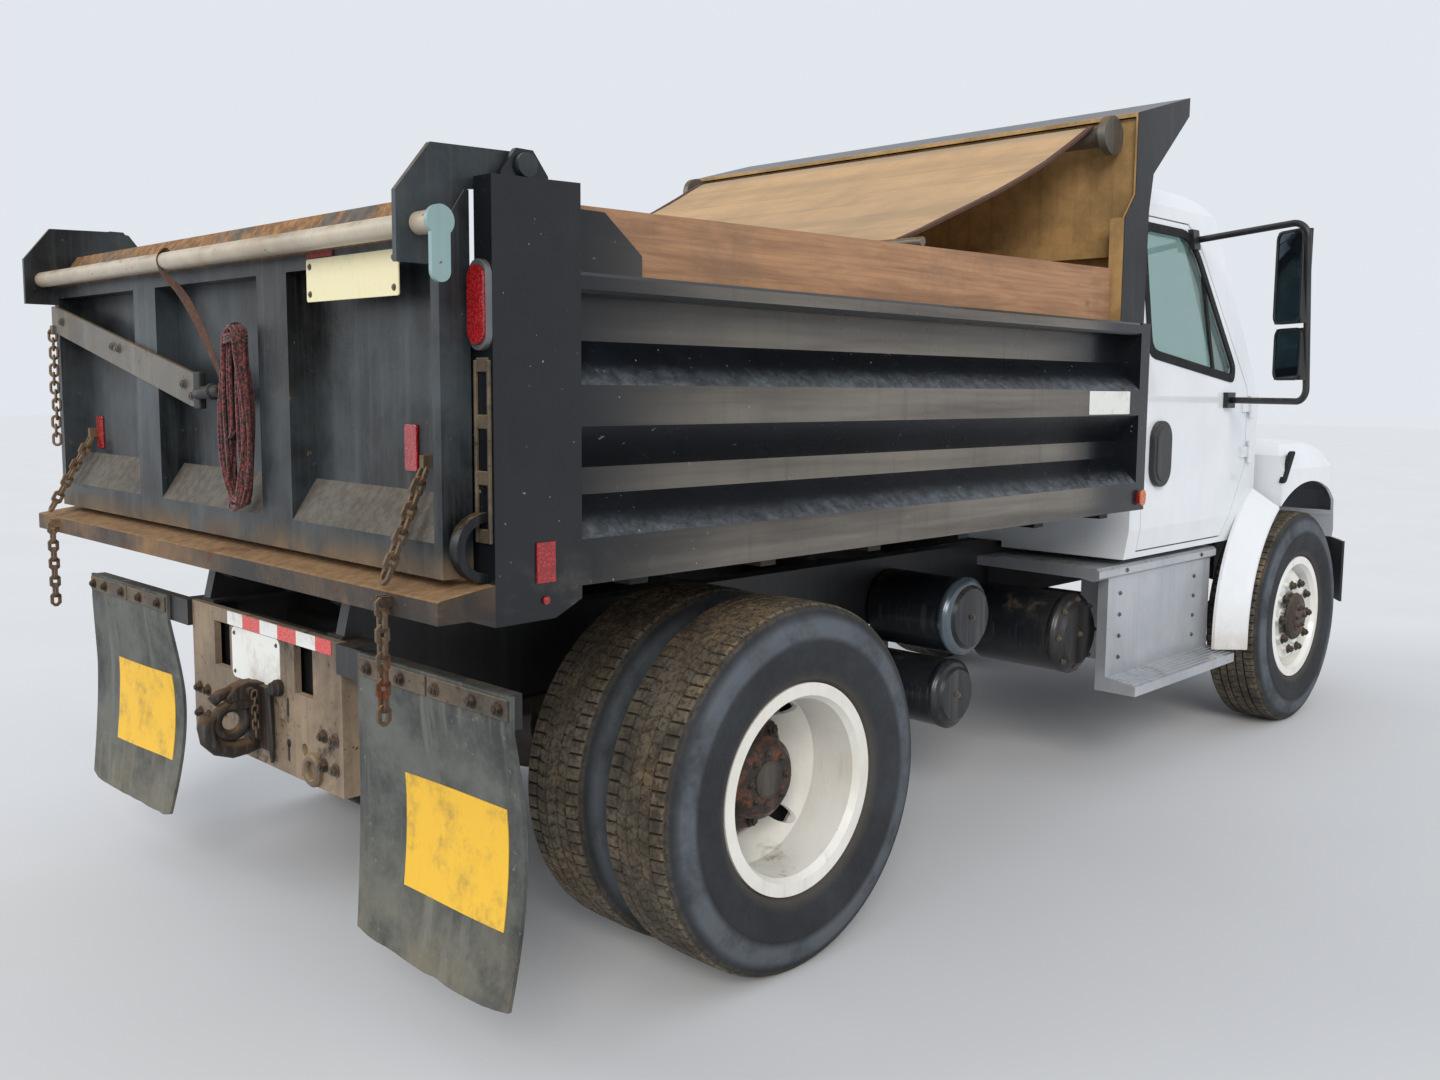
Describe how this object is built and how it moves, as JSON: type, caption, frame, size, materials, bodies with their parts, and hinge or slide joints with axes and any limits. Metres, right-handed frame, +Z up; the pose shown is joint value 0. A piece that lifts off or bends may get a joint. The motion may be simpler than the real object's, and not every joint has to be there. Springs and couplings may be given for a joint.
{
  "type": "dump truck",
  "caption": "Two-axle dump truck with a tilting ribbed load bed, swinging tailgate, cab shield, mesh tarp, dual rear wheels, opening cab doors and a tilting hood",
  "frame": {"origin": "on the ground below the centre of the overall length and width", "axes": "X forward, Y to the truck's left, Z up"},
  "size_m": [6.03, 2.968, 2.7748],
  "materials": {
    "bed_black": "satin black paint with streaks of dirt",
    "frame_black": "dusty black paint",
    "cab_white": "white paint",
    "rim_white": "white paint with rust at the hub",
    "steel": "worn steel with rust",
    "tread_plate": "satin aluminium",
    "axle_iron": "dusty iron",
    "rubber": "matt",
    "tyre": "matt",
    "board_wood": "weathered",
    "mesh": "woven mesh",
    "glass": "clear",
    "black_plastic": "grained",
    "lamp_red": "lens",
    "lamp_clear": "lens",
    "seat_cloth": "woven",
    "rope": "braided",
    "pipe_cream": "cream paint, worn",
    "chrome": "polished"
  },
  "bodies": {
    "chassis": {"frame_rails": "frame_black", "crossmembers": "frame_black", "hitch_plate": "steel", "pintle_hook": "steel", "rear_axle": "axle_iron", "leaf_springs": "axle_iron", "front_axle": "axle_iron", "engine": "axle_iron", "side_tanks": "frame_black", "fuel_tank": "tread_plate", "cab_steps": "tread_plate", "cab_shell": "cab_white", "cab_glass": "glass", "dashboard": "black_plastic", "seats": "seat_cloth", "bumper": "chrome", "mud_flaps": "rubber", "flap_hangers": "steel", "bed_hinge": "steel", "hoist_mount": "frame_black", "quarter_panels": "cab_white"},
    "bed": {"bed_floor": "bed_black", "bed_sides": "bed_black", "sideboards": "board_wood", "bulkhead": "bed_black", "rear_apron": "bed_black", "tarp_roller": "steel", "tarp": "mesh", "bed_lamps": "lamp_red", "latch_hooks": "steel"},
    "tailgate": {"gate_panel": "bed_black", "gate_pipe": "pipe_cream", "diagonal_bar": "steel", "gate_chains": "steel", "rope_hank": "rope"},
    "chain_tails": {"chain_tails": "steel"},
    "hoist_barrel": {"hoist_barrel": "frame_black"},
    "hoist_rod": {"hoist_rod": "chrome"},
    "hood": {"hood_shell": "cab_white", "grille": "chrome", "headlamps": "lamp_clear"},
    "door_left": {"door_left": "cab_white", "door_glass_left": "glass", "mirror_left": "black_plastic"},
    "door_right": {"door_right": "cab_white", "door_glass_right": "glass", "mirror_right": "black_plastic"},
    "knuckle_left": {"knuckle_left": "axle_iron"},
    "knuckle_right": {"knuckle_right": "axle_iron"},
    "tie_rod": {"tie_rod": "axle_iron"},
    "wheel_front_left": {"tyre_front_left": "tyre", "rim_front_left": "rim_white"},
    "wheel_front_right": {"tyre_front_right": "tyre", "rim_front_right": "rim_white"},
    "wheels_rear_left": {"tyres_rear_left": "tyre", "rims_rear_left": "rim_white"},
    "wheels_rear_right": {"tyres_rear_right": "tyre", "rims_rear_right": "rim_white"}
  },
  "joints": [
    {"name": "bed_tilt", "type": "hinge", "parent": "chassis", "child": "bed", "pos_m": [-2.695, 0, 1.085], "axis": [0, -1, 0], "range_deg": [0, 50]},
    {"name": "tailgate_swing", "type": "hinge", "parent": "bed", "child": "tailgate", "pos_m": [-2.715, 0, 2.11], "axis": [0, 1, 0], "range_deg": [0, 80]},
    {"name": "chain_hang", "type": "hinge", "parent": "bed", "child": "chain_tails", "pos_m": [-2.998, 0, 1.168], "axis": [0, -1, 0], "range_deg": [-50, 0]},
    {"name": "hoist_swing", "type": "hinge", "parent": "chassis", "child": "hoist_barrel", "pos_m": [-2.345, 0, 0.665], "axis": [0, -1, 0], "range_deg": [0, 38]},
    {"name": "hoist_extend", "type": "slide", "parent": "hoist_barrel", "child": "hoist_rod", "axis": [0.6916, 0, 0.7223], "range_m": [0, 0.436]},
    {"name": "hood_tilt", "type": "hinge", "parent": "chassis", "child": "hood", "pos_m": [2.885, 0, 0.9], "axis": [0, 1, 0], "range_deg": [0, 65]},
    {"name": "door_left_open", "type": "hinge", "parent": "chassis", "child": "door_left", "pos_m": [1.49, 1.063, 1.465], "axis": [0, 0, -1], "range_deg": [0, 70]},
    {"name": "door_right_open", "type": "hinge", "parent": "chassis", "child": "door_right", "pos_m": [1.49, -1.063, 1.465], "axis": [0, 0, 1], "range_deg": [0, 70]},
    {"name": "steer_left", "type": "hinge", "parent": "chassis", "child": "knuckle_left", "pos_m": [1.995, 0.88, 0.525], "axis": [0, 0, 1], "range_deg": [-35, 35]},
    {"name": "steer_right", "type": "hinge", "parent": "chassis", "child": "knuckle_right", "pos_m": [1.995, -0.88, 0.525], "axis": [0, 0, 1], "range_deg": [-35, 35]},
    {"name": "tie_rod_pivot", "type": "hinge", "parent": "knuckle_left", "child": "tie_rod", "pos_m": [1.805, 0.88, 0.402], "axis": [0, 0, 1], "range_deg": [-35, 35]},
    {"name": "front_left_spin", "type": "hinge", "parent": "knuckle_left", "child": "wheel_front_left", "pos_m": [1.995, 1.02, 0.525], "axis": [0, 1, 0], "continuous": true},
    {"name": "front_right_spin", "type": "hinge", "parent": "knuckle_right", "child": "wheel_front_right", "pos_m": [1.995, -1.02, 0.525], "axis": [0, 1, 0], "continuous": true},
    {"name": "rear_left_spin", "type": "hinge", "parent": "chassis", "child": "wheels_rear_left", "pos_m": [-1.815, 0.917, 0.525], "axis": [0, 1, 0], "continuous": true},
    {"name": "rear_right_spin", "type": "hinge", "parent": "chassis", "child": "wheels_rear_right", "pos_m": [-1.815, -0.917, 0.525], "axis": [0, 1, 0], "continuous": true}
  ],
  "couplings": [
    {"joint": "chain_hang", "follows": "bed_tilt", "ratio": -1},
    {"joint": "hoist_swing", "follows": "bed_tilt", "ratio": 0.7569},
    {"joint": "hoist_extend", "follows": "bed_tilt", "m_per_rad": 0.4971},
    {"joint": "steer_right", "follows": "steer_left", "ratio": 1},
    {"joint": "tie_rod_pivot", "follows": "steer_left", "ratio": -1}
  ]
}
